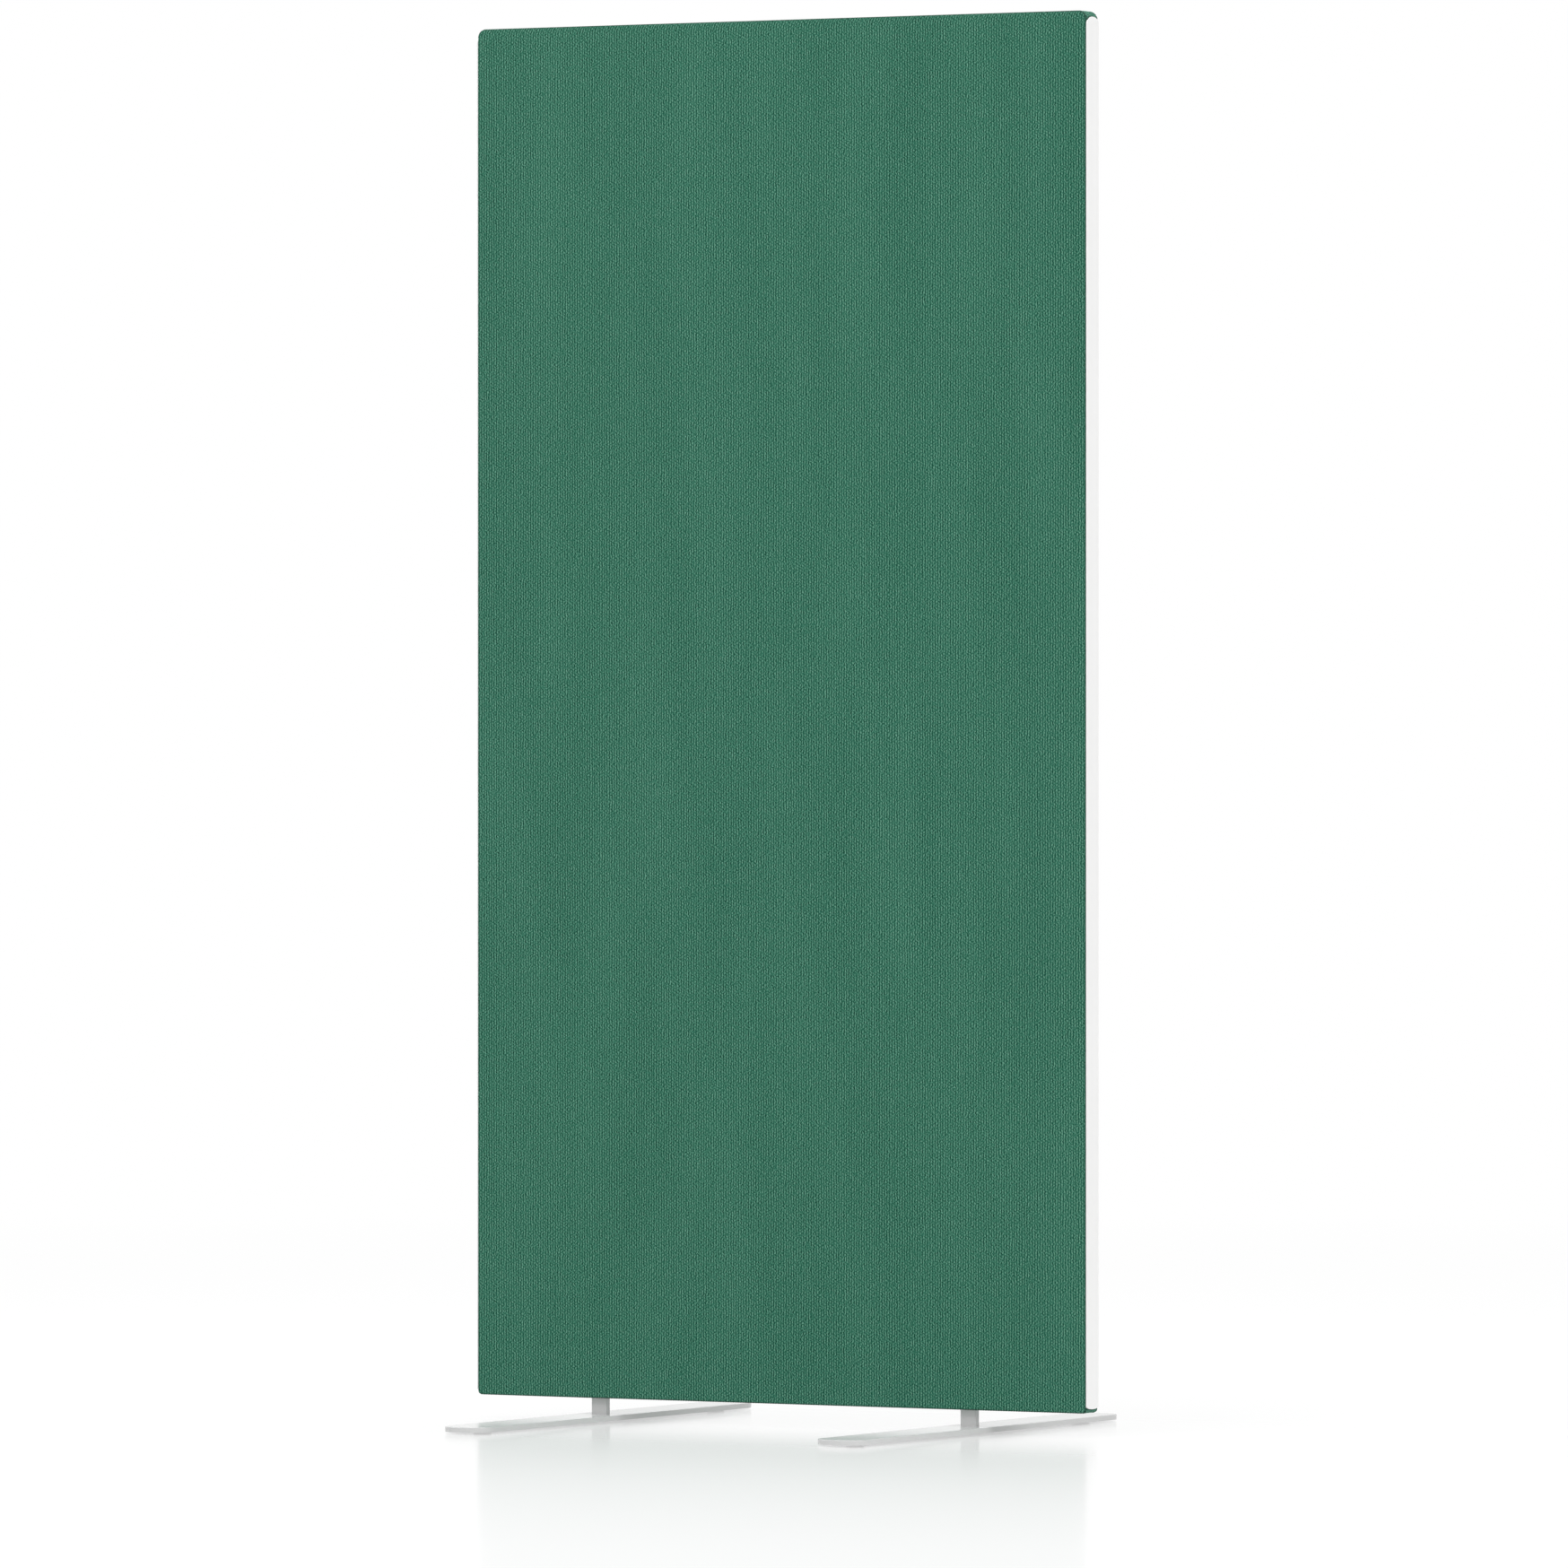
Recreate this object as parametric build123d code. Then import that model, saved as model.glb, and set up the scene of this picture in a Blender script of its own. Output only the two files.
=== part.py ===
from build123d import *
import os

# Free-standing acoustic divider screen: an upholstered panel on two flat steel feet. Millimetres.
# The origin is on the floor under the middle of the screen.
# X runs along the screen's width, Y from its front to its back, and Z up.

# Panel, as covered in fabric
panel_width = 800
panel_height = 1575
top_corner_radius = 10
bottom_corner_radius = 5

# Wooden frame
frame_depth = 25
stile_width = 44
rail_height = 44
foot_rail_height = 110
kerf_width = 2.6
kerf_depth = 12

# Dowels between rails and stiles
dowel_diameter = 8
dowel_inset = 12
dowel_reach_share = 0.75
dowel_chamfer = 1
dowel_play = 0.1

# Absorber batts
absorber_play = 0.3

# Wadding and fabric
wadding_thickness = 1.2
fabric_thickness = 0.8
fabric_opening_play = 0.4

# Edge trim, a T-moulding that stands on the fabric
trim_thickness = 1.6
trim_setback = 1
trim_hollow = 0.8
trim_lip = 2
trim_round = 0.7
tongue_thickness = 2
tongue_tip_play = 2
barb_count = 3
barb_reach = 0.25
barb_length = 2
trim_top_gap = 6.7
trim_bottom_gap = 4.6
trim_top_rise = 8.5
trim_bottom_rise = 3

# Staples that hold the fabric's edges on the stiles
staple_pitch = 120
staple_crown = 10
staple_leg = 8
staple_wire_width = 1.2
staple_wire_thickness = 0.6
staple_play = 0.05

# Feet, the inset measured from the panel's side to the middle of the foot
foot_inset = 157
foot_length = 620
foot_width = 60
foot_thickness = 6
foot_corner_radius = 25
foot_edge_round = 0.8
pad_thickness = 2
pad_diameter = 20
pad_end_setback = 50
pad_round = 0.5

# Posts between feet and panel
post_width = 20
post_thickness = 8
post_showing = 19
post_roof = 18
post_play = 0.2
post_edge_round = 0.8
post_lead_in_share = 0.75

# Wood screws through the foot rail and the post
wood_screw_diameter = 4
wood_screw_head = 8
wood_screw_length = 22
wood_screw_point = 4
wood_screw_tip = 0.8
cross_slot_length = 4.4
cross_slot_width = 0.9
cross_slot_depth = 1.8

# Machine screws through the foot plate into the post
plate_screw_diameter = 5
plate_screw_head = 9.2
plate_screw_length = 16
plate_screw_point = 0.5
plate_screw_pitch = 11
hexagon_radius = 1.7
hexagon_depth = 2
screw_play = 0.1

# How far a cut runs past the face that it starts from
overrun = 1

# Levels and half widths that follow from the sizes above
plate_top = pad_thickness + foot_thickness
panel_low = plate_top + post_showing
panel_high = panel_low + panel_height
panel_thickness = frame_depth + 2 * (wadding_thickness + fabric_thickness)
cover_half = panel_width / 2
frame_half = cover_half - fabric_thickness
frame_low = panel_low + fabric_thickness
frame_high = panel_high - fabric_thickness
stile_inner = frame_half - stile_width
foot_rail_top = frame_low + foot_rail_height
top_rail_low = frame_high - rail_height
mid_rail_low = (foot_rail_top + top_rail_low - rail_height) / 2
post_top = foot_rail_top - post_roof
foot_x = panel_width / 2 - foot_inset
trim_low = panel_low + trim_bottom_gap
trim_high = panel_high - trim_top_gap
rails = {
    "frame_bottom_rail": (frame_low, foot_rail_top),
    "frame_mid_rail": (mid_rail_low, mid_rail_low + rail_height),
    "frame_top_rail": (top_rail_low, frame_high),
}

parts = {}


def block(x, y, z):
    """A box between a low and a high limit on each axis."""
    limits = (x, y, z)
    middle = [(low + high) / 2 for low, high in limits]
    return Pos(*middle) * Box(*[high - low for low, high in limits])


def about(middle, size):
    """The two limits of a size that is centred on a middle."""
    return middle - size / 2, middle + size / 2


def board(depth, growth, arris=0):
    """A board with the panel's outline, grown all round, and with rounded front and back edges for an arris."""
    outline = Pos(0, (panel_low + panel_high) / 2) * Rectangle(panel_width + 2 * growth, panel_height + 2 * growth)
    outline = fillet(outline.vertices().group_by(Axis.Y)[0], bottom_corner_radius + growth)
    outline = fillet(outline.vertices().group_by(Axis.Y)[-1], top_corner_radius + growth)
    solid = extrude(Plane.XZ * outline, amount=depth / 2, both=True)
    if arris:
        faces = solid.faces().sort_by(Axis.Y)
        solid = fillet(faces[0].edges() + faces[-1].edges(), arris)
    return solid


def on_both_sides(name, solid):
    """Keeps a piece of the right side, and its mirror image on the left."""
    parts[name + "_right"] = solid
    parts[name + "_left"] = mirror(solid, about=Plane.YZ)


def group(solids):
    """Separate solids that share one node."""
    return Compound(children=list(solids))


def countersunk(diameter, head, length, point, tip, play=0):
    """A countersunk screw that points down from its head's top face, or with play the hole for it."""
    radius = diameter / 2 + play
    head_radius = head / 2 + play
    outline = Polyline(
        (0, 0),
        (head_radius, 0),
        (radius, radius - head_radius),
        (radius, point - length),
        (tip / 2 + play, -length - play),
        (0, -length - play),
        close=True,
    )
    return revolve(Plane.XZ * make_face(outline), axis=Axis.Z)


# Dowels, along X across each end of each rail
dowel_reach = (stile_width - kerf_depth) * dowel_reach_share
dowel_heights = []
for low, high in rails.values():
    dowel_heights += [low + dowel_inset, high - dowel_inset]


def dowel(z, play=0):
    """One dowel on the right, or its hole with play."""
    pin = Cylinder(dowel_diameter / 2 + play, 2 * (dowel_reach + play))
    if not play:
        pin = chamfer(pin.edges().filter_by(GeomType.CIRCLE), dowel_chamfer)
    return Pos(stile_inner, 0, z) * Rot(0, 90, 0) * pin


right_dowels = [dowel(z) for z in dowel_heights]
right_dowel_holes = [dowel(z, dowel_play) for z in dowel_heights]
left_dowel_holes = [mirror(hole, about=Plane.YZ) for hole in right_dowel_holes]
parts["frame_dowels"] = group(right_dowels + [mirror(pin, about=Plane.YZ) for pin in right_dowels])

# Staples on the right stile's edge, a row on each side of the kerf, midway between the kerf and the face
staple_row = (kerf_width / 2 + frame_depth / 2) / 2
staple_count = int((trim_high - trim_low - staple_crown) / staple_pitch)
staple_low = (trim_low + trim_high - (staple_count - 1) * staple_pitch) / 2
staple_places = [
    (y, staple_low + place * staple_pitch)
    for y in (-staple_row, staple_row)
    for place in range(staple_count)
]


def staple_legs(y, z, play=0):
    """The two legs of one staple, or their holes with play."""
    leg_spread = staple_crown - staple_wire_thickness
    return [
        block(
            (cover_half - staple_leg - play, cover_half),
            about(y, staple_wire_width + 2 * play),
            about(z + end * leg_spread / 2, staple_wire_thickness + 2 * play),
        )
        for end in (-1, 1)
    ]


def staple(y, z):
    """One staple, its crown lying on the fabric."""
    crown = block(
        (cover_half, cover_half + staple_wire_thickness),
        about(y, staple_wire_width),
        about(z, staple_crown),
    )
    first_leg, second_leg = staple_legs(y, z)
    return crown + first_leg + second_leg


right_leg_holes = [hole for y, z in staple_places for hole in staple_legs(y, z, staple_play)]
left_leg_holes = [mirror(hole, about=Plane.YZ) for hole in right_leg_holes]
right_staples = [staple(y, z) for y, z in staple_places]
on_both_sides("staples", group(right_staples))

# Stiles: their outer corners are rounded, and a kerf along the outer edge takes the trim's tongue
frame_board = board(frame_depth, -fabric_thickness)
frame_y = about(0, frame_depth)
stile = frame_board & block((stile_inner, frame_half), frame_y, (frame_low, frame_high))
kerf = block(
    (frame_half - kerf_depth, frame_half + overrun),
    about(0, kerf_width),
    (frame_low - overrun, frame_high + overrun),
)
on_both_sides("frame_stile", stile - [kerf] - right_dowel_holes - right_leg_holes)

# Posts: flat bars that stand on the foot plates and reach up into the bottom rail
plate_screw_places = about(foot_x, plate_screw_pitch)
wood_screw_heights = [frame_low + (post_top - frame_low) * third / 3 for third in (1, 2)]


def wood_screw(z, play=0):
    """One screw of the right post, or its hole with play. It goes in from the frame's back face."""
    screw = countersunk(
        wood_screw_diameter,
        wood_screw_head,
        wood_screw_length,
        wood_screw_point,
        wood_screw_tip,
        play,
    )
    if not play:
        slots = [
            Rot(0, 0, turn) * Box(cross_slot_length, cross_slot_width, 2 * cross_slot_depth)
            for turn in (0, 90)
        ]
        screw = screw - slots
    return Pos(foot_x, frame_depth / 2, z) * Rot(-90, 0, 0) * screw


def plate_screw(x, play=0):
    """One screw of the right foot, or its hole with play. It goes up from the plate's underside."""
    screw = countersunk(
        plate_screw_diameter,
        plate_screw_head,
        plate_screw_length,
        plate_screw_point,
        plate_screw_diameter - 2 * plate_screw_point,
        play,
    )
    if not play:
        drive = RegularPolygon(hexagon_radius, 6)
        screw = screw - extrude(drive, amount=-hexagon_depth)
    return Pos(x, 0, pad_thickness) * Rot(180, 0, 0) * screw


wood_screw_holes = [wood_screw(z, screw_play) for z in wood_screw_heights]
plate_screw_holes = [plate_screw(x, screw_play) for x in plate_screw_places]
on_both_sides("post_screws", group([wood_screw(z) for z in wood_screw_heights]))
on_both_sides("foot_screws", group([plate_screw(x) for x in plate_screw_places]))

post = block(about(foot_x, post_width), about(0, post_thickness), (plate_top, post_top))
post = fillet(post.edges().filter_by(Axis.Z), post_edge_round)
post = chamfer(post.faces().sort_by(Axis.Z)[-1].edges(), post_edge_round * post_lead_in_share)
on_both_sides("foot_post", post - wood_screw_holes - plate_screw_holes)

# Rails between the stiles, the bottom one mortised for the posts
mortise = block(
    about(foot_x, post_width + 2 * post_play),
    about(0, post_thickness + 2 * post_play),
    (frame_low - overrun, post_top + post_play),
)
for name, levels in rails.items():
    rail = block((-stile_inner, stile_inner), frame_y, levels) - right_dowel_holes - left_dowel_holes
    if name == "frame_bottom_rail":
        cuts = [mortise] + wood_screw_holes
        rail = rail - cuts - [mirror(cut, about=Plane.YZ) for cut in cuts]
    parts[name] = rail

# Absorber batts in the two bays of the frame
bays = {
    "absorber_lower": (foot_rail_top, mid_rail_low),
    "absorber_upper": (mid_rail_low + rail_height, top_rail_low),
}
for name, (low, high) in bays.items():
    parts[name] = block(
        about(0, 2 * (stile_inner - absorber_play)),
        frame_y,
        (low + absorber_play, high - absorber_play),
    )

# Wadding on both faces, rounded off towards the edges
padded_depth = frame_depth + 2 * wadding_thickness
padded_board = board(padded_depth, -fabric_thickness, wadding_thickness)
whole_x = about(0, panel_width)
whole_z = (panel_low, panel_high)
parts["wadding_front"] = padded_board & block(whole_x, (-padded_depth / 2, -frame_depth / 2), whole_z)
parts["wadding_back"] = padded_board & block(whole_x, (frame_depth / 2, padded_depth / 2), whole_z)

# Fabric: a cover over each face, sewn together in the middle of the top and bottom edges and the corners
cover_board = board(panel_thickness, 0, wadding_thickness + fabric_thickness)
trim_slot = block(
    (frame_half - overrun, cover_half + overrun),
    about(0, kerf_width),
    (trim_low, trim_high),
)
post_opening = block(
    about(foot_x, post_width + 2 * fabric_opening_play),
    about(0, post_thickness + 2 * fabric_opening_play),
    (panel_low - overrun, frame_low + overrun),
)
right_cuts = [trim_slot, post_opening] + right_leg_holes
left_cuts = [mirror(cut, about=Plane.YZ) for cut in right_cuts]
cover = cover_board - padded_board - right_cuts - left_cuts
parts["fabric_front"] = cover & block(whole_x, (-panel_thickness / 2, 0), whole_z)
parts["fabric_back"] = cover & block(whole_x, (0, panel_thickness / 2), whole_z)

# Edge trim: a hollow-backed cap whose lips lie on the fabric and follow the panel's corners
cap_width = panel_thickness - 2 * trim_setback
cap = board(cap_width, trim_thickness, trim_round) - board(panel_thickness, 0)
cap = cap - board(cap_width - 2 * trim_lip, trim_hollow)

# Its barbed tongue, which fills the slot in the fabric and grips in the kerf
tongue_tip = frame_half - kerf_depth + tongue_tip_play
tongue_root = cover_half + trim_hollow
tongue_half = tongue_thickness / 2
tongue = block((tongue_tip, tongue_root), (-tongue_half, tongue_half), (trim_low, trim_high))
barb_step = (frame_half - tongue_tip - barb_length) / barb_count
for barb in range(barb_count):
    narrow = tongue_tip + barb * barb_step
    wide = narrow + barb_length
    wide_half = tongue_half + barb_reach
    corners = [(narrow, -tongue_half), (wide, -wide_half), (wide, wide_half), (narrow, tongue_half)]
    wedge = make_face(Polyline(*corners, close=True))
    tongue = tongue + extrude(Pos(0, 0, trim_low) * wedge, amount=trim_high - trim_low)

# Both end in low arches, seen from the side
arch_low = trim_low + trim_bottom_rise
arch_high = trim_high - trim_top_rise
arched = Pos(0, (arch_low + arch_high) / 2) * Rectangle(cap_width, arch_high - arch_low)
arched = arched + Pos(0, arch_high) * Ellipse(cap_width / 2, trim_top_rise)
arched = arched + Pos(0, arch_low) * Ellipse(cap_width / 2, trim_bottom_rise)
arched = extrude(Plane.YZ * arched, amount=cover_half + trim_thickness + overrun)
on_both_sides("edge_trim", (cap + tongue) & arched)

# Foot plates, with the posts' screws countersunk from below
plate = Pos(foot_x, 0) * Rectangle(foot_width, foot_length)
plate = fillet(plate.vertices(), foot_corner_radius)
plate = extrude(Pos(0, 0, pad_thickness) * plate, amount=foot_thickness)
plate = fillet(plate.faces().sort_by(Axis.Z)[-1].edges(), foot_edge_round)
on_both_sides("foot_plate", plate - plate_screw_holes)

# Thin round pads under the plates' ends
pad_y = foot_length / 2 - pad_end_setback
pad = Pos(foot_x, 0, pad_thickness / 2) * Cylinder(pad_diameter / 2, pad_thickness)
pad = fillet(pad.edges().group_by(Axis.Z)[0], pad_round)
on_both_sides("foot_pads", group([Pos(0, y, 0) * pad for y in (-pad_y, pad_y)]))

os.makedirs("parts", exist_ok=True)
for name, solid in parts.items():
    export_step(solid, os.path.join("parts", name + ".step"))
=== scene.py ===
import math

import bmesh
import bpy
import numpy as np
from mathutils import Euler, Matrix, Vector, noise


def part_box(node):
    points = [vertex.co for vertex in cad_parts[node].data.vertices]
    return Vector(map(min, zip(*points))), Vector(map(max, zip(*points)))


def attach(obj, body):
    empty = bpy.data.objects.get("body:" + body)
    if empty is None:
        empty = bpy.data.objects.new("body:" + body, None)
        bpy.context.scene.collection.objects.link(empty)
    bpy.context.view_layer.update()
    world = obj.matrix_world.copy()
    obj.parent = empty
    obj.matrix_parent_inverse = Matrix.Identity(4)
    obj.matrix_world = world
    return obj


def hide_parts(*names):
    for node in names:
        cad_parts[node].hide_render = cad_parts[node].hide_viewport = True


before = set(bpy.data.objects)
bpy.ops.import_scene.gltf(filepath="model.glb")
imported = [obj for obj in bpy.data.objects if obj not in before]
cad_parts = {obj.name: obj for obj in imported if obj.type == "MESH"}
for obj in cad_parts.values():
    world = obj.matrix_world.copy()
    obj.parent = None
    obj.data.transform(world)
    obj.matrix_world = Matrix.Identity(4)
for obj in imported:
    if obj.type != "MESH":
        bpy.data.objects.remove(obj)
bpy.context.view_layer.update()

# Units: the scene is in metres. TINY keeps a division by a length of zero safe
MM = 0.001
TINY = 1e-9

# What the frame says about the panel
COVER_LOW, COVER_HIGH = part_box("fabric_front")[0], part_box("fabric_back")[1]
HALF_WIDTH = COVER_HIGH.x
HALF_DEPTH = COVER_HIGH.y
PANEL_LOW = COVER_LOW.z
PANEL_HIGH = COVER_HIGH.z

# The panel's corners, and its two halves by the sign of their y
TOP_RADIUS = 10 * MM
BOTTOM_RADIUS = 5 * MM
ENDS = {-1: "front", 1: "back"}

# Cover: the cloth's thickness, and the round edge between the panel's face and its sides
CLOTH = 0.8 * MM
ARRIS = 2 * MM

# Its ribs. A seeded draw gives each its share of the depth, also those turned over the edges
RIB_PITCH = 3.3 * MM
RIB_DEPTH = 0.4 * MM
RIB_DEPTH_SHARES = (0.8, 1.1)
RIB_CREST = 0.1 * MM
RIB_SAMPLES = 4
RIB_SEED = 11
TURNED_RIBS = 40

# Its seam in the middle of the edges, and how its ribs are dragged aside near the top edge
SEAM_DIP = 0.4 * MM
SEAM_WIDTH = 1.2 * MM
DRAG = 4 * MM
DRAG_REACH = 10 * MM
DRAG_LIMIT = 1.2

# Its openings for posts and tongues, cut from the quads within a reach of the panel's sides
POST_PLAY = 0.4 * MM
SLOT_HALF = 1.3 * MM
CUT_REACH = 1 * MM

# Its rows: near the panel's bottom and top, between them, round the arris, to the seam and into the seam
BOTTOM_REACH = 10 * MM
BOTTOM_ROWS = 13
TOP_REACH = 20 * MM
TOP_ROWS = 25
MIDDLE_ROWS = 14
ARRIS_STEPS = 5
TURN_ROWS = 14
SEAM_ROWS = 4

# The caps of the edge trims, seen from the side
TRIM_WIDTH = 27 * MM
TRIM_TOP_RISE = 8.5 * MM
TRIM_BOTTOM_RISE = 3 * MM

# Painted shade on the cover: within a rim's reach of the trims' outlines, and on its folded edges
RIM_REACH = 1.2 * MM
ARCH_SLOPE = 0.75
FOLD_MIDDLE = 2.3 * MM
FOLD_REACH = 1.3 * MM

# Wadding: a thin fleece with slight dents
WADDING = 1.2 * MM
FLEECE_DENT = 0.05 * MM
FLEECE_LUMPS = 110
FLEECE_COLUMNS = 90
FLEECE_ROWS = 170
FLEECE_ARC_STEPS = 4

# Absorber batts: soft edges, a slight crown, and sides that draw in between the corners
BATT_EDGE = 5 * MM
BATT_CROWN = 0.8 * MM
BATT_CROWN_POWER = 6
BATT_DRAW = 0.8 * MM
BATT_DENT = 0.3 * MM
BATT_LUMPS = 45
BATT_GRID = 100
BATT_ARC_STEPS = 5
BATT_SIDE_ROWS = 5
WELD_REACH = 0.01 * MM

# Knit: the pitch of its stitches, and in pitches their slant and a wale's flat crest and wander
STITCH_PITCH = 3.35 * MM
STITCH_SLANT = 1.2
CREST_WIDTH = 0.08
WANDER = 0.3

# Its noises, in grains per metre across and along the wales
# The dashes are the difference between a noise and its shifted copy
WANDER_GRAINS = (120, 70, 0)
DASH_GRAINS = (720, 390, 0)
DASH_SHIFT = (1.5 * MM, 0, 0)
YARN_GRAINS = (1100, 900, 0)
BAND_GRAINS = (14, 2.4, 0)

# What adds up to the height of its yarn, from 0 to 1, and to its tone. The tone follows the height, so it
# is partly painted shade in the valleys and painted light on the crests, and partly uneven yarn
YARN_BASE = 0.14
CREST_HEIGHT = 0.52
LOOP_HEIGHT = 0.15
DASH_HEIGHT = 1.35
YARN_HEIGHT = 0.75
BAND_TONE = 0.07

# Wood: rings, the finer pores between them and their tone. Felt: fibres, and the clumps that they form
RINGS = 7
PORES_PER_RING = 12
PORE_TONE = 0.3
FIBRES_PER_CLUMP = 14
FIBRE_SHARE = 0.7
FIBRE_STRETCH = (1, 1, 0.35)

# Colours, in pairs that a noise blends. The knit has stops by its tone, and the colour of the shade painted
# on its edges and at the trims
WHITE = (1, 1, 1)
KNIT_COLOURS = {0: (0.000, 0.038, 0.021), 0.42: (0.025, 0.159, 0.099), 1: (0.167, 0.398, 0.290)}
KNIT_PAINTED_SHADE = (0.003, 0.028, 0.016)
TRIM_COLOURS = ((0.905, 0.905, 0.90), (0.935, 0.935, 0.93))
COAT_COLOURS = ((0.63, 0.63, 0.63), (0.68, 0.68, 0.68))
PAD_COLOURS = ((0.84, 0.84, 0.83), (0.90, 0.90, 0.89))
ZINC_COLOURS = ((0.52, 0.53, 0.54), (0.66, 0.66, 0.64))
PINE_COLOURS = ((0.62, 0.42, 0.22), (0.74, 0.56, 0.34))
BEECH_COLOURS = ((0.55, 0.34, 0.19), (0.66, 0.45, 0.28))
FLEECE_COLOURS = ((0.70, 0.70, 0.68), (0.88, 0.88, 0.86))
BATT_COLOURS = ((0.30, 0.31, 0.30), (0.52, 0.53, 0.52))

# Floor: its colour for the light and as seen, and its gloss, in fades with an amount and a reach each
FLOOR_REACH = 60
FLOOR_LIT = (0.64, 0.64, 0.64)
FLOOR_SEEN = (0.97, 0.97, 0.97)
FLOOR_IOR = 1.45
FLOOR_ROUGHNESS = 0.16
GLOSS_FADES = ((0.53, 1.4), (0.37, 0.22))

# How the floor turns into a backdrop further out
BACKDROP_SHARES = (0.8, 1.0)
BACKDROP_START = 2
BACKDROP_END = 6

# Lights: the world's strength, and each lamp's place, size and power. The lamps aim at the panel's middle
DOME = 0.63
LAMPS = {
    "front": ((-1.0, -3.6, 5.6), 5, 140),
    "overhead": ((0, 0.3, 6.0), 4, 140),
    "side": ((5.5, -1.5, 2.5), 3, 87),
}
LAMP_TARGET = (0, 0, 0.8)

# The camera, fitted to the photo
IMAGE_SIZE = 1748
FOCAL_PIXELS = 13944.6
HORIZON_PIXEL = 791.9
CAMERA_AZIMUTH = math.radians(30.12)
CAMERA_DISTANCE = 14.2477
CAMERA_HEIGHT = 0.8166
CAMERA_ASIDE = 0.32 * MM
SENSOR_WIDTH = 36
CLIP_END = 200

# The Mix node's sockets for colours, by their places
MIX_FACTOR = 0
MIX_LOW = 6
MIX_HIGH = 7
MIX_RESULT = 2


def new_object(name, points, quads, smooth=True):
    """A mesh of quads, given as arrays."""
    points, quads = np.asarray(points, dtype=float), np.asarray(quads, dtype=int)
    mesh = bpy.data.meshes.new(name)
    mesh.vertices.add(len(points))
    mesh.vertices.foreach_set("co", points.ravel())
    mesh.loops.add(quads.size)
    mesh.loops.foreach_set("vertex_index", quads.ravel())
    mesh.polygons.add(len(quads))
    mesh.polygons.foreach_set("loop_start", np.arange(0, quads.size, 4))
    mesh.update(calc_edges=True)
    mesh.validate()
    mesh.shade_smooth() if smooth else mesh.shade_flat()
    obj = bpy.data.objects.new(name, mesh)
    bpy.context.scene.collection.objects.link(obj)
    return obj


def set_material(obj, material):
    obj.data.materials.clear()
    obj.data.materials.append(material)


class Tree:
    """The node tree of a material or a world, built from calls that return sockets."""

    def __init__(self, owner):
        self.owner = owner
        owner.use_nodes = True
        self.nodes = owner.node_tree.nodes
        self.links = owner.node_tree.links
        self.nodes.clear()

    def put(self, value, socket):
        """Sets a socket to a number, a vector or a colour with no alpha, or links it to another socket."""
        if isinstance(value, bpy.types.NodeSocket):
            self.links.new(value, socket)
        elif socket.type == "RGBA":
            socket.default_value = (*value, 1)
        else:
            socket.default_value = value

    def add(self, kind, *values, out=0, named=None, **settings):
        """A new node. Values fill its first sockets in order, and named ones the sockets that they name."""
        node = self.nodes.new("ShaderNode" + kind)
        for key, value in settings.items():
            setattr(node, key, value)
        for place, value in enumerate(values):
            if value is not None:
                self.put(value, node.inputs[place])
        for key, value in (named or {}).items():
            self.put(value, node.inputs[key])
        return node.outputs[out]

    def math(self, operation, a, b=None, clamp=False):
        return self.add("Math", a, b, operation=operation, use_clamp=clamp)

    def position(self):
        return self.add("TexCoord", out="Object")

    def noise(self, vector, scale=1, detail=2, rough=0.5):
        named = {"Vector": vector, "Scale": scale, "Detail": detail, "Roughness": rough}
        return self.add("TexNoise", named=named)

    def stretch(self, vector, amounts):
        return self.add("VectorMath", vector, amounts, operation="MULTIPLY")

    def between(self, factor, low, high, low_in=0, high_in=1):
        """Maps a factor from low_in and high_in to low and high."""
        return self.add("MapRange", factor, low_in, high_in, low, high)

    def blend(self, factor, low, high):
        """A colour between two others."""
        named = {MIX_FACTOR: factor, MIX_LOW: low, MIX_HIGH: high}
        return self.add("Mix", out=MIX_RESULT, named=named, data_type="RGBA")

    def ramp(self, factor, stops):
        """A colour from stops given by their places."""
        node = self.nodes.new("ShaderNodeValToRGB")
        self.put(factor, node.inputs[0])
        places = node.color_ramp.elements
        while len(places) < len(stops):
            places.new(0.5)
        for place, (where, colour) in zip(places, stops.items()):
            place.position = where
            place.color = (*colour, 1)
        return node.outputs[0]

    def end(self, shader, output="OutputMaterial"):
        """Ends the tree with a shader."""
        self.links.new(shader, self.nodes.new("ShaderNode" + output).inputs["Surface"])

    def finish(self, colour, height=None, bump=None, distance=None, **sockets):
        """Ends a material with one shader, and with a bump where it has a height."""
        shader = self.nodes.new("ShaderNodeBsdfPrincipled")
        self.put(colour, shader.inputs["Base Color"])
        for key, value in sockets.items():
            self.put(value, shader.inputs[key.replace("_", " ")])
        if height is not None:
            normal = self.add("Bump", named={"Strength": bump, "Distance": distance, "Height": height})
            self.put(normal, shader.inputs["Normal"])
        self.end(shader.outputs[0])
        return self.owner


def material_tree(name):
    return Tree(bpy.data.materials.new(name))


# Materials


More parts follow.
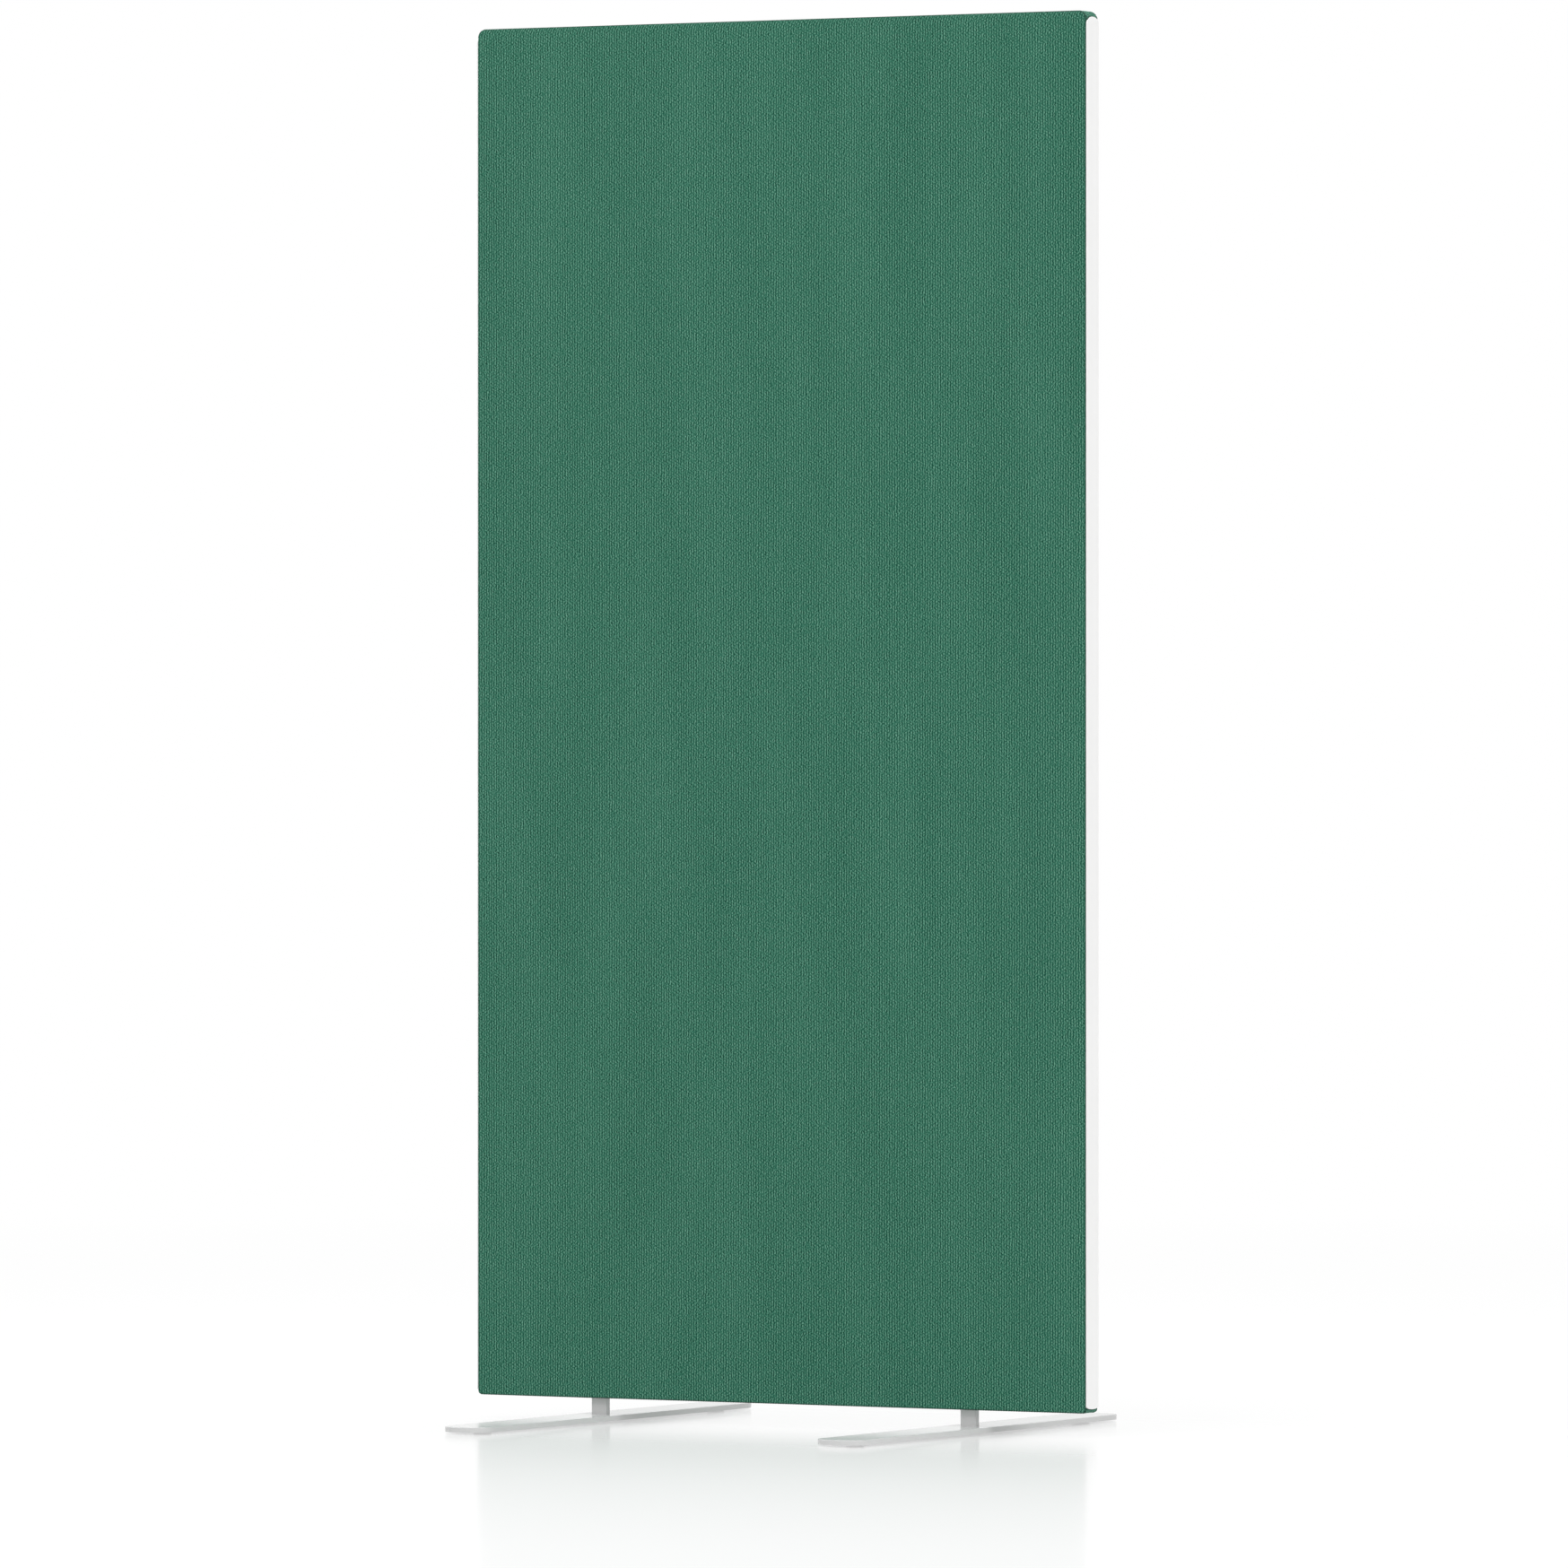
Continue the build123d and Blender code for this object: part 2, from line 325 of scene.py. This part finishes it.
def cover_material():
    """Ribbed knit: wales along the height, broken into dashes by the stitches and by uneven yarn. The
    colour follows the yarn's height, so it paints shade into the valleys and light onto the crests.
    """
    tree = material_tree("cover_knit")
    cloth = tree.add("UVMap", uv_map="cloth")
    across = tree.add("SeparateXYZ", cloth, out="X")
    along = tree.add("SeparateXYZ", cloth, out="Y")

    # Wales, which wander a little aside
    wander = tree.between(tree.noise(tree.stretch(cloth, WANDER_GRAINS)), -WANDER, WANDER)
    ribs = tree.math("ADD", tree.math("DIVIDE", across, RIB_PITCH), wander)
    nearest = tree.math("ROUND", ribs)
    off_middle = tree.math("ABSOLUTE", tree.math("SUBTRACT", ribs, nearest))
    crest = tree.between(off_middle, 1, 0, low_in=CREST_WIDTH, high_in=0.5)

    # Stitches, half a pitch further on every other wale, which slant to both sides of it
    odd = tree.math("PINGPONG", nearest, 1)
    stitch = tree.math("ADD", tree.math("DIVIDE", along, STITCH_PITCH), tree.math("MULTIPLY", odd, 0.5))
    stitch = tree.math("ADD", stitch, tree.math("MULTIPLY", off_middle, STITCH_SLANT))
    loops = tree.math("COSINE", tree.math("MULTIPLY", stitch, 2 * math.pi))

    # Uneven yarn
    beside = tree.add("VectorMath", cloth, DASH_SHIFT, operation="ADD")
    dashes = [tree.noise(tree.stretch(place, DASH_GRAINS), detail=1.5) for place in (cloth, beside)]
    yarn = tree.noise(tree.stretch(cloth, YARN_GRAINS), detail=1)
    bands = tree.noise(tree.stretch(cloth, BAND_GRAINS))

    height = tree.math("MULTIPLY", crest, CREST_HEIGHT)
    height = tree.math("ADD", height, tree.math("MULTIPLY", loops, LOOP_HEIGHT))
    height = tree.math("ADD", height, tree.math("MULTIPLY", tree.math("SUBTRACT", *dashes), DASH_HEIGHT))
    height = tree.math("ADD", height, tree.between(yarn, -YARN_HEIGHT, YARN_HEIGHT))
    height = tree.math("ADD", height, YARN_BASE, clamp=True)
    # Painted shade and light: the tone follows the yarn's height, dark in the valleys and light on the
    # crests, and the bands add a random tone
    tone = tree.math("ADD", height, tree.between(bands, -BAND_TONE, BAND_TONE), clamp=True)
    # Painted shade: the cover's shade attribute darkens the cloth at the trims' rims and on its folded
    # edges
    edge = tree.add("Attribute", attribute_name="shade", out="Fac")
    colour = tree.blend(edge, tree.ramp(tone, KNIT_COLOURS), KNIT_PAINTED_SHADE)
    return tree.finish(
        colour,
        height,
        bump=0.5,
        distance=0.3 * MM,
        Roughness=0.9,
        Sheen_Weight=0.1,
        Sheen_Roughness=0.5,
        Specular_IOR_Level=0.1,
    )


def trim_material():
    """Satin white plastic with a fine moulded grain."""
    tree = material_tree("trim_plastic")
    place = tree.position()
    grain = tree.noise(place, scale=1800)
    clouds = tree.noise(place, scale=6, detail=3)
    colour = tree.blend(clouds, *TRIM_COLOURS)
    rough = tree.between(grain, 0.42, 0.54)
    return tree.finish(colour, grain, bump=0.08, distance=0.1 * MM, Roughness=rough, Specular_IOR_Level=0.3)


def foot_material():
    """Fine powder coat."""
    tree = material_tree("foot_powder_coat")
    place = tree.position()
    beads = tree.noise(place, scale=1100, detail=3, rough=0.6)
    clouds = tree.noise(place, scale=9, detail=3)
    colour = tree.blend(clouds, *COAT_COLOURS)
    rough = tree.between(beads, 0.10, 0.18)
    return tree.finish(colour, beads, bump=0.05, distance=0.1 * MM, Roughness=rough, Specular_IOR_Level=0.5)


def pad_material():
    """Pale rubber."""
    tree = material_tree("foot_pad_rubber")
    grain = tree.noise(tree.position(), scale=1500, detail=3)
    return tree.finish(tree.blend(grain, *PAD_COLOURS), grain, bump=0.3, distance=0.2 * MM, Roughness=0.8)


def wood_material(name, colours, grow, ring_scale):
    """Planed wood: growth rings and pores stretched along the grain."""
    tree = material_tree(name)
    along = tree.stretch(tree.position(), grow)
    rings = tree.noise(along, ring_scale, detail=3, rough=0.6)
    pores = tree.noise(along, ring_scale * PORES_PER_RING)
    ring_tone = tree.math("FRACT", tree.math("MULTIPLY", rings, RINGS))
    tone = tree.math("ADD", ring_tone, tree.between(pores, -PORE_TONE, PORE_TONE))
    return tree.finish(tree.blend(tone, *colours), pores, bump=0.2, distance=0.2 * MM, Roughness=0.65)


def fibre_material(name, colours, fibres):
    """Needled fibres, lying every way."""
    tree = material_tree(name)
    place = tree.position()
    felt = tree.noise(tree.stretch(place, FIBRE_STRETCH), fibres, detail=4, rough=0.7)
    clumps = tree.noise(place, fibres / FIBRES_PER_CLUMP, detail=3)
    felt_tone = tree.math("MULTIPLY", felt, FIBRE_SHARE)
    clump_tone = tree.math("MULTIPLY", clumps, 1 - FIBRE_SHARE)
    colour = tree.blend(tree.math("ADD", felt_tone, clump_tone), *colours)
    return tree.finish(colour, felt, bump=0.6, distance=0.5 * MM, Roughness=1, Sheen_Weight=0.2)


def zinc_material():
    """Zinc plate: bright, with faint crystals."""
    tree = material_tree("zinc_plate")
    place = tree.position()
    crystals = tree.add("TexVoronoi", out="Color", named={"Vector": place, "Scale": 900})
    colour = tree.blend(tree.add("SeparateXYZ", crystals, out="X"), *ZINC_COLOURS)
    rough = tree.between(tree.noise(place, scale=400), 0.25, 0.45)
    return tree.finish(colour, Metallic=1, Roughness=rough)


# The panel's outline


class Board:
    """One half of a board with rounded corners: a grid on its face, and a flange round the edge.

    side is -1 for the front half and 1 for the back half. The grid ends where the arris starts."""

    def __init__(self, side, box, face_y, arris, radii, columns, rows):
        low, high = box
        self.side, self.face_y = side, face_y
        self.half = high.x - arris
        self.low, self.high = low.z + arris, high.z - arris
        self.low_radius, self.high_radius = (radius - arris for radius in radii)
        self.xs = np.linspace(-self.half, self.half, columns + 1)
        self.zs = rows(self.low, self.high)

    def place(self, x, z):
        """Moves points of the square grid onto the rounded one. Gives x, z and the outline's normal."""
        at_top, at_bottom = z > self.high - self.high_radius, z < self.low + self.low_radius
        radius = np.where(at_top, self.high_radius, np.where(at_bottom, self.low_radius, 0))
        middle_z = np.where(at_top, self.high - radius, np.where(at_bottom, self.low + radius, z))
        middle_x = np.copysign(self.half - radius, x)
        dx, dz = x - middle_x, z - middle_z
        away = np.maximum(np.hypot(dx, dz), TINY)
        reach = np.maximum(abs(dx), abs(dz)) / away
        in_corner = (radius > 0) & (dx * x > 0)
        on_side = self.half - abs(x) < np.minimum(z - self.low, self.high - z)
        side_x, end_z = np.sign(x) * on_side, np.sign(z - self.low - self.high_radius) * ~on_side
        return (
            np.where(in_corner, middle_x + dx * reach, x),
            np.where(in_corner, middle_z + dz * reach, z),
            np.where(in_corner, dx / away, side_x),
            np.where(in_corner, dz / away, end_z),
        )

    def border(self):
        """The grid's border as its columns and its rows, in order."""
        last_x, last_z = len(self.xs) - 1, len(self.zs) - 1
        along, up = np.arange(last_x), np.arange(last_z)
        columns = np.concatenate((along, np.full(last_z, last_x), last_x - along, np.zeros(last_z, int)))
        rows = np.concatenate((np.zeros(last_x, int), up, np.full(last_x, last_z), last_z - up))
        return columns, rows


def flange_path(arris, arc_steps, straight):
    """The flange's section as (how far out, how far back, the normal's outward share)."""
    turns = [math.pi / 2 * step / arc_steps for step in range(1, arc_steps + 1)]
    arc = [(arris * math.sin(turn), arris * (1 - math.cos(turn)), math.sin(turn)) for turn in turns]
    return arc + [(arris, back, 1) for back in straight]


def skin(board, path, lift):
    """A board's skin, lifted along its normals: points, quads, places in the flat cloth and runs.

    A point's run is how far it is past the grid's border, along the flange."""
    xs, zs = np.meshgrid(board.xs, board.zs)
    x, z, _, _ = (values.ravel() for values in board.place(xs, zs))
    points = [np.stack((x, board.side * (board.face_y + lift(x, z, 0)), z), axis=1)]
    cloth = [np.stack((x, z), axis=1)]
    runs = [np.zeros(len(x))]
    numbers = np.arange(len(x)).reshape(len(board.zs), len(board.xs))
    corners = (numbers[:-1, :-1], numbers[:-1, 1:], numbers[1:, 1:], numbers[1:, :-1])
    quads = [np.stack([corner.ravel() for corner in corners], axis=1)]

    columns, rows = board.border()
    x, z, normal_x, normal_z = board.place(board.xs[columns], board.zs[rows])
    previous = numbers[rows, columns]
    run, before, count = 0, (0, 0), numbers.size
    for out, back, lean in path:
        run += math.hypot(out - before[0], back - before[1])
        before = (out, back)
        u, v = x + normal_x * run, z + normal_z * run
        up = lift(u, v, back)
        outward = out + lean * up
        y = board.side * (board.face_y - back + math.sqrt(max(0, 1 - lean * lean)) * up)
        current = count + np.arange(len(x))
        points.append(np.stack((x + normal_x * outward, y, z + normal_z * outward), axis=1))
        cloth.append(np.stack((u, v), axis=1))
        runs.append(np.full(len(x), run))
        quads.append(np.stack((previous, current, np.roll(current, -1), np.roll(previous, -1)), axis=1))
        previous = current
        count += len(x)
    return np.concatenate(points), np.concatenate(quads), np.concatenate(cloth), np.concatenate(runs)


def lined(outer, inner, quads):
    """An outer skin, its lining and the rim between them, as one closed mesh.

    The rim stands on the edges that only one quad has."""
    count = len(outer)
    start, end = quads.ravel(), np.roll(quads, -1, axis=1).ravel()
    alone = ~np.isin(start * count + end, end * count + start)
    a, b = start[alone], end[alone]
    rim = np.stack((b, a, a + count, b + count), axis=1)
    return np.concatenate((outer, inner)), np.concatenate((quads, quads[:, ::-1] + count, rim))


def facing(side, quads):
    """The grid's quads look to the back, so the front's are turned over."""
    return quads if side > 0 else quads[:, ::-1]


# Covers


def cover_rows(low, high):
    """Levels of a cover's rows: close together at the trims' ends, and even between them."""
    bottom = np.linspace(low, low + BOTTOM_REACH, BOTTOM_ROWS)
    top = np.linspace(high - TOP_REACH, high, TOP_ROWS)
    middle = np.linspace(bottom[-1], top[0], MIDDLE_ROWS)[1:-1]
    return np.concatenate((bottom, middle, top))


def drag(v):
    """How far the ribs are dragged aside near the top edge, at a height in the flat cloth."""
    return DRAG * np.clip((v - (PANEL_HIGH - DRAG_REACH)) / DRAG_REACH, 0, DRAG_LIMIT) ** 2


def trim_distance(y, z):
    """How far points of the panel's sides are from the outline of the trim's cap, negative inside.

    ARCH_SLOPE turns a height over the arch, which slopes, into a distance from it."""
    low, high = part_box("edge_trim_right")
    half = TRIM_WIDTH / 2
    arch = 1 - np.sqrt(np.clip(1 - (y / half) ** 2, 0, 1))
    above, below = z - (high.z - TRIM_TOP_RISE * arch), low.z + TRIM_BOTTOM_RISE * arch - z
    return np.maximum(abs(y) - half, ARCH_SLOPE * np.maximum(above, below))


def cover_shade(points, runs):
    """How much shade is painted on the cloth at the trims' rims and on the folded edges, from 0 to 1."""
    x, y, z = points.T
    # Painted shade in the recess along the trims' outlines
    rim = np.clip(1 - abs(trim_distance(y, z)) / RIM_REACH, 0, 1) * (abs(x) > HALF_WIDTH - ARRIS / 2)
    # Painted shade along the arris, where the cloth turns over the edge
    fold_shade = np.exp(-(((runs - FOLD_MIDDLE) / FOLD_REACH) ** 2))
    return np.maximum(rim, fold_shade)


def openings(middles):
    """Which quads lie in the openings for the posts and in the slots for the trims' tongues."""
    x, y, z = middles.T
    found = np.zeros(len(x), bool)
    for post in ("foot_post_left", "foot_post_right"):
        low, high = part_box(post)
        inside = (x > low.x - POST_PLAY) & (x < high.x + POST_PLAY) & (abs(y) < high.y + POST_PLAY)
        found |= inside & (z < PANEL_LOW + CUT_REACH)
    low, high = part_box("edge_trim_right")
    return found | (abs(x) > HALF_WIDTH - CUT_REACH) & (abs(y) < SLOT_HALF) & (z > low.z) & (z < high.z)


def make_cover(side):
    """A cover: ribbed cloth over a face, turned over its edges and sewn to the other cover there.

    Gives the cover and the size of its flat cloth."""
    ribs = round(2 * (HALF_WIDTH - ARRIS) / RIB_PITCH)
    box, radii = (COVER_LOW, COVER_HIGH), (BOTTOM_RADIUS, TOP_RADIUS)
    board = Board(side, box, HALF_DEPTH, ARRIS, radii, ribs * RIB_SAMPLES, cover_rows)
    to_seam = np.linspace(ARRIS, HALF_DEPTH - SEAM_WIDTH, TURN_ROWS)[1:]
    at_seam = np.linspace(HALF_DEPTH - SEAM_WIDTH, HALF_DEPTH, SEAM_ROWS)[1:]
    path = flange_path(ARRIS, ARRIS_STEPS, [*to_seam, *at_seam])
    shares = np.random.default_rng(RIB_SEED).uniform(*RIB_DEPTH_SHARES, ribs + TURNED_RIBS)

    def lift(u, v, back):
        rib = (u - drag(v)) / RIB_PITCH
        valley = 0.5 - 0.5 * np.cos(2 * np.pi * rib)
        depth = RIB_DEPTH * shares[np.rint(rib).astype(int) + len(shares) // 2]
        seam = max(0, 1 - (HALF_DEPTH - back) / SEAM_WIDTH)
        return RIB_CREST - depth * valley - SEAM_DIP * seam**2

    outer, quads, cloth, runs = skin(board, path, lift)
    inner = skin(board, path, lambda u, v, back: np.full_like(u, -CLOTH))[0]
    quads = quads[~openings(outer[quads].mean(axis=1))]
    points, quads = lined(outer, inner, quads)
    used, numbers = np.unique(quads, return_inverse=True)
    obj = new_object("cover_" + ENDS[side], points[used], facing(side, numbers.reshape(-1, 4)))
    cloth[:, 0] -= drag(cloth[:, 1])
    store_cloth(obj, np.tile(cloth, (2, 1))[used])
    # Painted shade at the trims' rims and on the folded edges, kept as a point attribute
    layer = obj.data.attributes.new("shade", "FLOAT", "POINT")
    layer.data.foreach_set("value", cover_shade(points, np.tile(runs, 2))[used])
    turned = 2 * runs.max()
    return obj, (2 * board.half + turned, board.high - board.low + turned)


def store_cloth(obj, cloth):
    """Keeps each point's place in the flat cloth, in metres, where the material finds it."""
    layer = obj.data.uv_layers.new(name="cloth")
    corners = np.zeros(len(obj.data.loops), dtype=int)
    obj.data.loops.foreach_get("vertex_index", corners)
    layer.data.foreach_set("uv", cloth[corners].ravel())


# Fleece and batts, inside the panel


def even_rows(count):
    return lambda low, high: np.linspace(low, high, count + 1)


def uneven(u, v, lumps):
    """Smooth noise from -1 to 1, with so many lumps per metre."""
    return np.array([noise.noise(Vector((a * lumps, b * lumps, 0))) for a, b in zip(u, v)])


def make_fleece(side):
    """Wadding: a thin sheet whose back is flat on the frame, and whose edges are rounded off.

    Gives the fleece and its flat size."""
    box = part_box("wadding_front")
    face_y = -box[0].y
    radii = (BOTTOM_RADIUS - CLOTH, TOP_RADIUS - CLOTH)
    board = Board(side, box, face_y, WADDING, radii, FLEECE_COLUMNS, even_rows(FLEECE_ROWS))

    def lift(u, v, back):
        return FLEECE_DENT * (uneven(u, v, FLEECE_LUMPS) - 1)

    outer, quads, _, _ = skin(board, flange_path(WADDING, FLEECE_ARC_STEPS, []), lift)
    inner = outer * (1, 0, 1) + (0, side * (face_y - WADDING), 0)
    points, quads = lined(outer, inner, quads)
    obj = new_object("fleece_" + ENDS[side], points, facing(side, quads))
    return obj, (box[1].x - box[0].x, box[1].z - box[0].z)


def make_batt(level):
    """Absorber: a felt batt with soft edges, slightly crowned, whose sides draw in between its corners."""
    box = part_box("absorber_" + level)
    half_x, half_y = box[1].x, box[1].y
    middle_z, half_z = (box[0].z + box[1].z) / 2, (box[1].z - box[0].z) / 2

    def lift(u, v, back):
        along_x, along_z = np.clip(abs(u / half_x), 0, 1), np.clip(abs((v - middle_z) / half_z), 0, 1)
        if back:
            return -BATT_DRAW * (1 - np.minimum(along_x, along_z) ** 2)
        crown = (1 - along_x**BATT_CROWN_POWER) * (1 - along_z**BATT_CROWN_POWER)
        return BATT_CROWN * (crown - 1) + BATT_DENT * (uneven(u, v, BATT_LUMPS) - 1) * crown

    radii = (2 * BATT_EDGE, 2 * BATT_EDGE)
    path = flange_path(BATT_EDGE, BATT_ARC_STEPS, np.linspace(BATT_EDGE, half_y, BATT_SIDE_ROWS)[1:])
    halves = []
    for side in ENDS:
        board = Board(side, box, half_y, BATT_EDGE, radii, BATT_GRID, even_rows(BATT_GRID))
        points, quads, _, _ = skin(board, path, lift)
        halves.append((points, facing(side, quads)))
    (front, front_quads), (back, back_quads) = halves
    quads = np.concatenate((front_quads, back_quads + len(front)))
    obj = new_object("batt_" + level, np.concatenate((front, back)), quads)
    weld(obj)
    return obj


def weld(obj):
    """Joins the points that lie together."""
    mesh = bmesh.new()
    mesh.from_mesh(obj.data)
    bmesh.ops.remove_doubles(mesh, verts=mesh.verts, dist=WELD_REACH)
    mesh.to_mesh(obj.data)
    mesh.free()


def add_piece(obj, material, node):
    set_material(obj, material)
    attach(obj, "root")
    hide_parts(node)


# Build the soft pieces
cover_knit = cover_material()
fleece_felt = fibre_material("wadding_fleece", FLEECE_COLOURS, fibres=500)
batt_felt = fibre_material("absorber_felt", BATT_COLOURS, fibres=700)
for side, end in ENDS.items():
    cover, size = make_cover(side)
    add_piece(cover, cover_knit, "fabric_" + end)
    fleece, size = make_fleece(side)
    add_piece(fleece, fleece_felt, "wadding_" + end)
for level in ("lower", "upper"):
    batt = make_batt(level)
    add_piece(batt, batt_felt, "absorber_" + level)

# Finishes of the CAD nodes that show as they are, by their names without a side
coat = foot_material()
zinc = zinc_material()
level_pine = wood_material("pine_level", PINE_COLOURS, grow=(0.04, 1, 1), ring_scale=60)
finishes = {
    "edge_trim": trim_material(),
    "foot_plate": coat,
    "foot_post": coat,
    "foot_pads": pad_material(),
    "foot_screws": zinc,
    "post_screws": zinc,
    "staples": zinc,
    "frame_stile": wood_material("pine_upright", PINE_COLOURS, grow=(1, 1, 0.04), ring_scale=60),
    "frame_bottom_rail": level_pine,
    "frame_mid_rail": level_pine,
    "frame_top_rail": level_pine,
    "frame_dowels": wood_material("beech", BEECH_COLOURS, grow=(0.05, 1, 1), ring_scale=200),
}
for name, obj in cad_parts.items():
    if not name.startswith(("fabric", "wadding", "absorber")):
        set_material(obj, finishes[name.removesuffix("_left").removesuffix("_right")])

# The stage: a pale floor with a faint gloss


def make_floor():
    """The floor's gloss fades ahead of and behind the panel, and further out it shines as a backdrop."""
    corners = [(x * FLOOR_REACH, y * FLOOR_REACH, 0) for x, y in ((-1, -1), (1, -1), (1, 1), (-1, 1))]
    floor = new_object("floor", corners, [(0, 1, 2, 3)], smooth=False)
    tree = material_tree("pale_floor")
    place = tree.position()
    ahead = tree.math("ABSOLUTE", tree.add("SeparateXYZ", place, out="Y"))
    fades = [
        tree.math("MULTIPLY", tree.math("EXPONENT", tree.math("DIVIDE", ahead, -reach)), amount)
        for amount, reach in GLOSS_FADES
    ]
    gloss = tree.math("MULTIPLY", tree.add("Fresnel", FLOOR_IOR), tree.math("ADD", *fades))
    distance = tree.add("VectorMath", place, out="Value", operation="LENGTH")
    backdrop = tree.between(distance, *BACKDROP_SHARES, BACKDROP_START, BACKDROP_END)
    seen = seen_rays(tree)
    matte = tree.add("BsdfDiffuse", tree.blend(seen, FLOOR_LIT, FLOOR_SEEN))
    glow = tree.add("Emission", WHITE, 1)
    lit = tree.add("MixShader", tree.math("MULTIPLY", backdrop, seen), matte, glow)
    shine = tree.add("BsdfGlossy", WHITE, named={"Roughness": FLOOR_ROUGHNESS})
    tree.end(tree.add("MixShader", gloss, lit, shine))
    set_material(floor, tree.owner)


def seen_rays(tree):
    """1 for the rays that show the background: camera, glossy and transmission rays."""
    kinds = ("Is Camera Ray", "Is Glossy Ray", "Is Transmission Ray")
    camera, glossy, passed = [tree.add("LightPath", out=kind) for kind in kinds]
    return tree.math("MAXIMUM", tree.math("MAXIMUM", camera, glossy), passed)


def make_world():
    """An even white dome, which is plain white as seen."""
    world = bpy.data.worlds.new("studio")
    bpy.context.scene.world = world
    tree = Tree(world)
    strength = tree.between(seen_rays(tree), DOME, 1)
    tree.end(tree.add("Background", WHITE, strength), "OutputWorld")


def aim(obj, target):
    direction = np.array(target) - np.array(obj.location)
    flat = math.hypot(direction[0], direction[1])
    tilt, turn = math.atan2(flat, -direction[2]), math.atan2(-direction[0], direction[1])
    obj.rotation_euler = Euler((tilt, 0, turn))


def softbox(name, place, size, power):
    light = bpy.data.lights.new(name, "AREA")
    light.shape, light.size, light.energy = "SQUARE", size, power
    obj = bpy.data.objects.new(name, light)
    bpy.context.scene.collection.objects.link(obj)
    obj.location = place
    aim(obj, LAMP_TARGET)


def make_camera():
    camera = bpy.data.cameras.new("camera")
    camera.sensor_width = SENSOR_WIDTH
    camera.lens = FOCAL_PIXELS / IMAGE_SIZE * SENSOR_WIDTH
    camera.clip_end = CLIP_END
    obj = bpy.data.objects.new("camera", camera)
    bpy.context.scene.collection.objects.link(obj)
    sine, cosine = math.sin(CAMERA_AZIMUTH), math.cos(CAMERA_AZIMUTH)
    x = CAMERA_DISTANCE * sine + CAMERA_ASIDE * cosine
    y = -CAMERA_DISTANCE * cosine + CAMERA_ASIDE * sine
    obj.location = (x, y, CAMERA_HEIGHT)
    tilt = math.atan2(IMAGE_SIZE / 2 - HORIZON_PIXEL, FOCAL_PIXELS)
    obj.rotation_euler = Euler((math.pi / 2 - tilt, 0, CAMERA_AZIMUTH))
    bpy.context.scene.camera = obj


make_floor()
make_world()
for name, (place, size, power) in LAMPS.items():
    softbox(name, place, size, power)
make_camera()
bpy.context.scene.view_settings.view_transform = "Standard"
